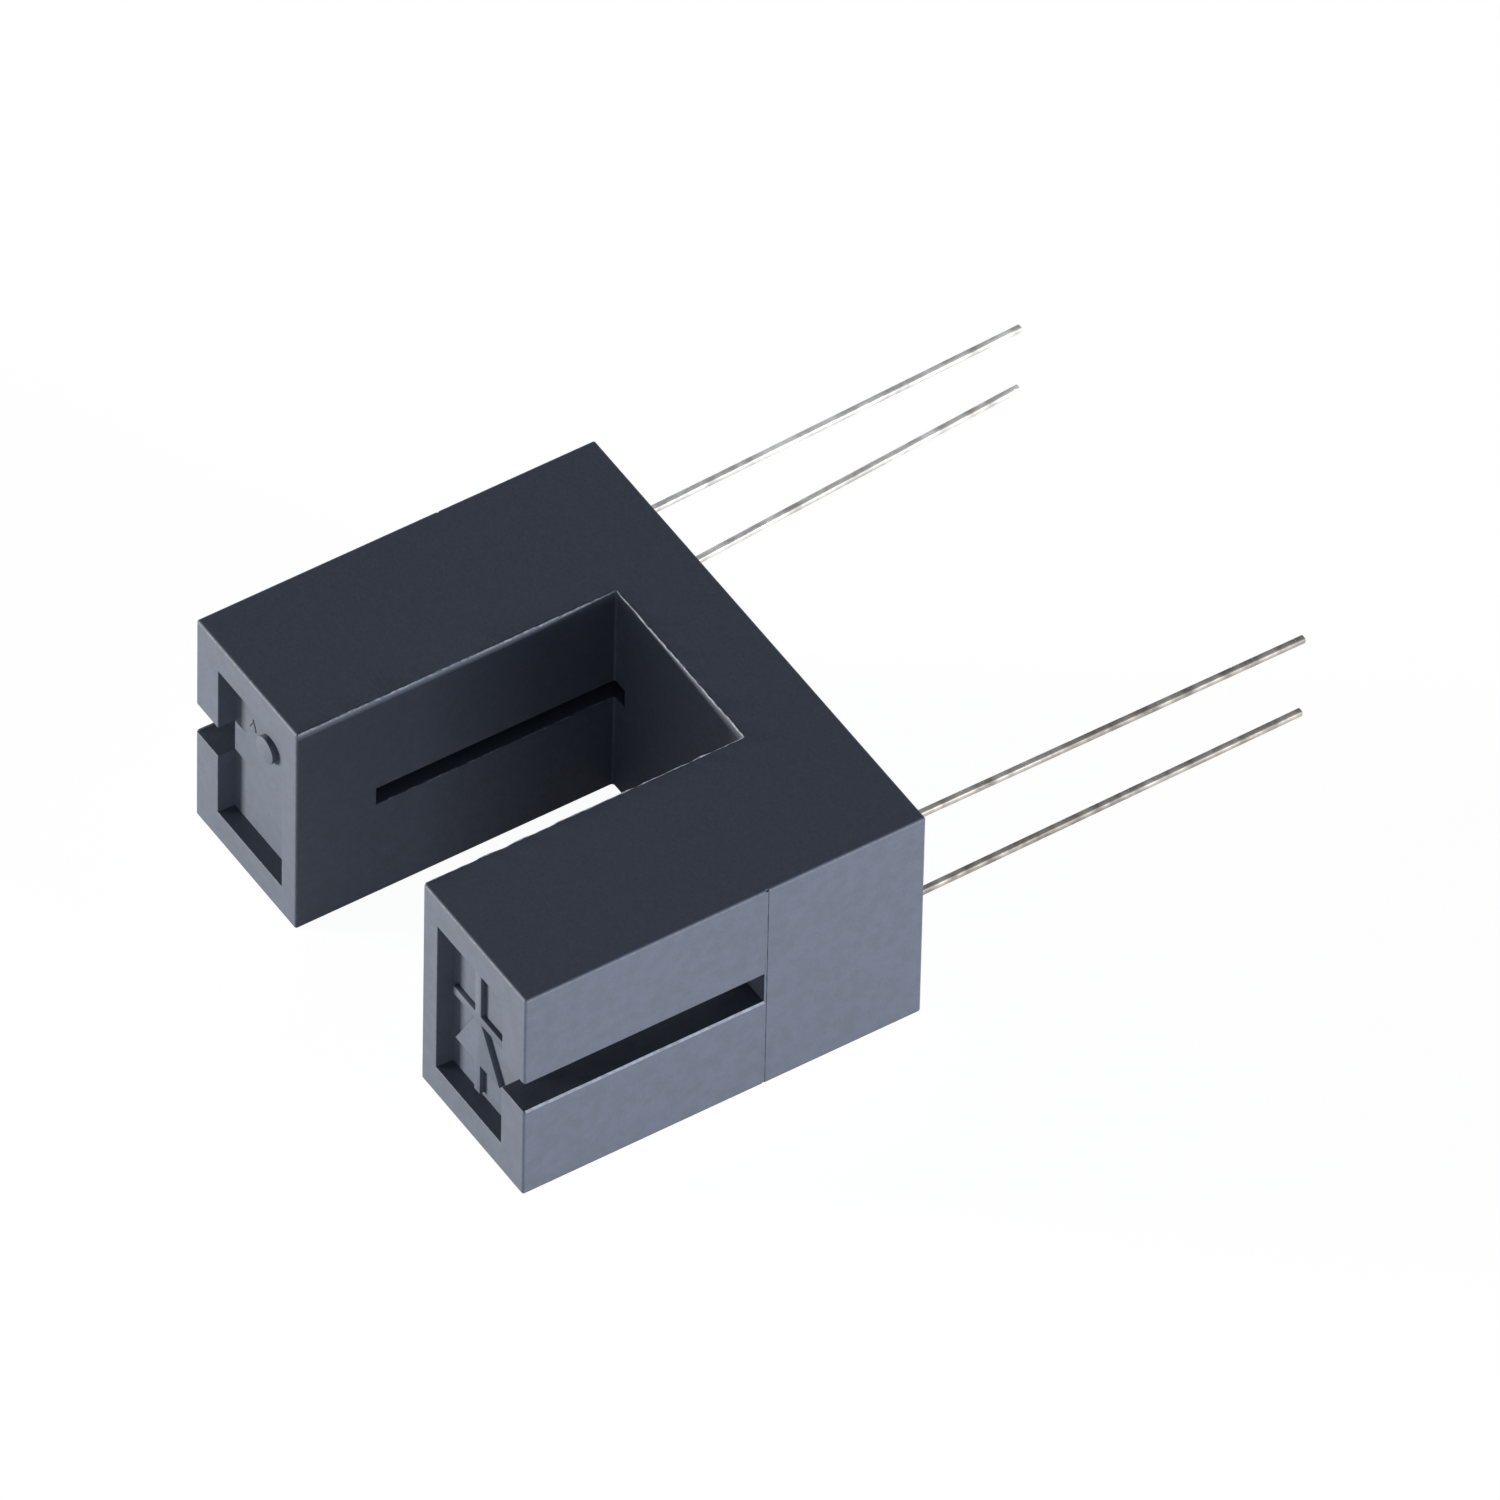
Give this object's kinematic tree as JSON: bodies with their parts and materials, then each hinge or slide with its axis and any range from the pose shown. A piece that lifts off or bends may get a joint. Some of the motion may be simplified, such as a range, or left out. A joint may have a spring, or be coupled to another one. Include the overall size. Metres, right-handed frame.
{
  "type": "slotted optical switch",
  "caption": "U-shaped photo interrupter that senses a vane in its gap between an infrared emitter and a phototransistor, with through-hole leads.",
  "frame": {"origin": "middle of the back face, which seats on the circuit board", "axes": "+X across the arms towards the emitter arm, +Y out of the back face along the leads, +Z through the thickness, up as the switch lies on its lower face"},
  "size_m": [0.013, 0.0206, 0.006],
  "materials": {
    "housing_plastic": "moulded satin, dark blue-grey",
    "clear_epoxy": "cast clear",
    "filter_epoxy": "cast daylight filter",
    "tinned_lead": "tin plated",
    "semiconductor": "diced wafer",
    "gold_wire": "drawn",
    "potting": "poured and cured"
  },
  "bodies": {
    "root": {"housing": "housing_plastic", "led_package": "clear_epoxy", "led_cathode_lead": "tinned_lead", "led_anode_lead": "tinned_lead", "led_chip": "semiconductor", "led_bond_wire": "gold_wire", "led_seal": "potting", "phototransistor_package": "filter_epoxy", "phototransistor_collector_lead": "tinned_lead", "phototransistor_emitter_lead": "tinned_lead", "phototransistor_chip": "semiconductor", "phototransistor_bond_wire": "gold_wire", "phototransistor_seal": "potting"}
  },
  "joints": []
}
